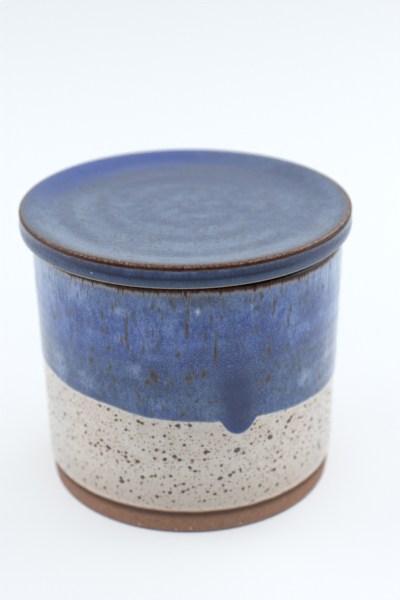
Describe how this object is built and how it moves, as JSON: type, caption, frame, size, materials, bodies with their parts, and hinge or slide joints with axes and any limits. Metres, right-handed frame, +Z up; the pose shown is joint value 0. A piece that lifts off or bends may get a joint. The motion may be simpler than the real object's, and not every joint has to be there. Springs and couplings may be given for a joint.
{
  "type": "lidded stoneware jar",
  "caption": "Small wheel-thrown stoneware jar with a slightly flared wall, bare foot band and flat overhanging lift-off lid with a locating ring.",
  "frame": {"origin": "centre of the pot's underside, on the turning axis", "axes": "+Z up along the axis both pieces are turned about, towards the lid; +X and +Y are level, with +Y pointing away from the side with the glaze drip"},
  "size_m": [0.114, 0.114, 0.1027],
  "materials": {
    "pot_glaze": "glossy mottled cobalt-blue glaze with olive-brown iron streaks, over speckled cream below the dip line",
    "lid_glaze": "glossy grey-blue glaze that breaks to rusty brown on the lip",
    "cream_glaze": "satin cream glaze with dark iron specks",
    "bare_stoneware": "matt, unglazed brown fired clay"
  },
  "bodies": {
    "pot": {"pot": "pot_glaze"},
    "lid": {"lid": "lid_glaze"}
  },
  "joints": [
    {"name": "lid_lift", "type": "slide", "parent": "pot", "child": "lid", "axis": [0, 0, 1], "range_m": [0, 0.05]}
  ]
}
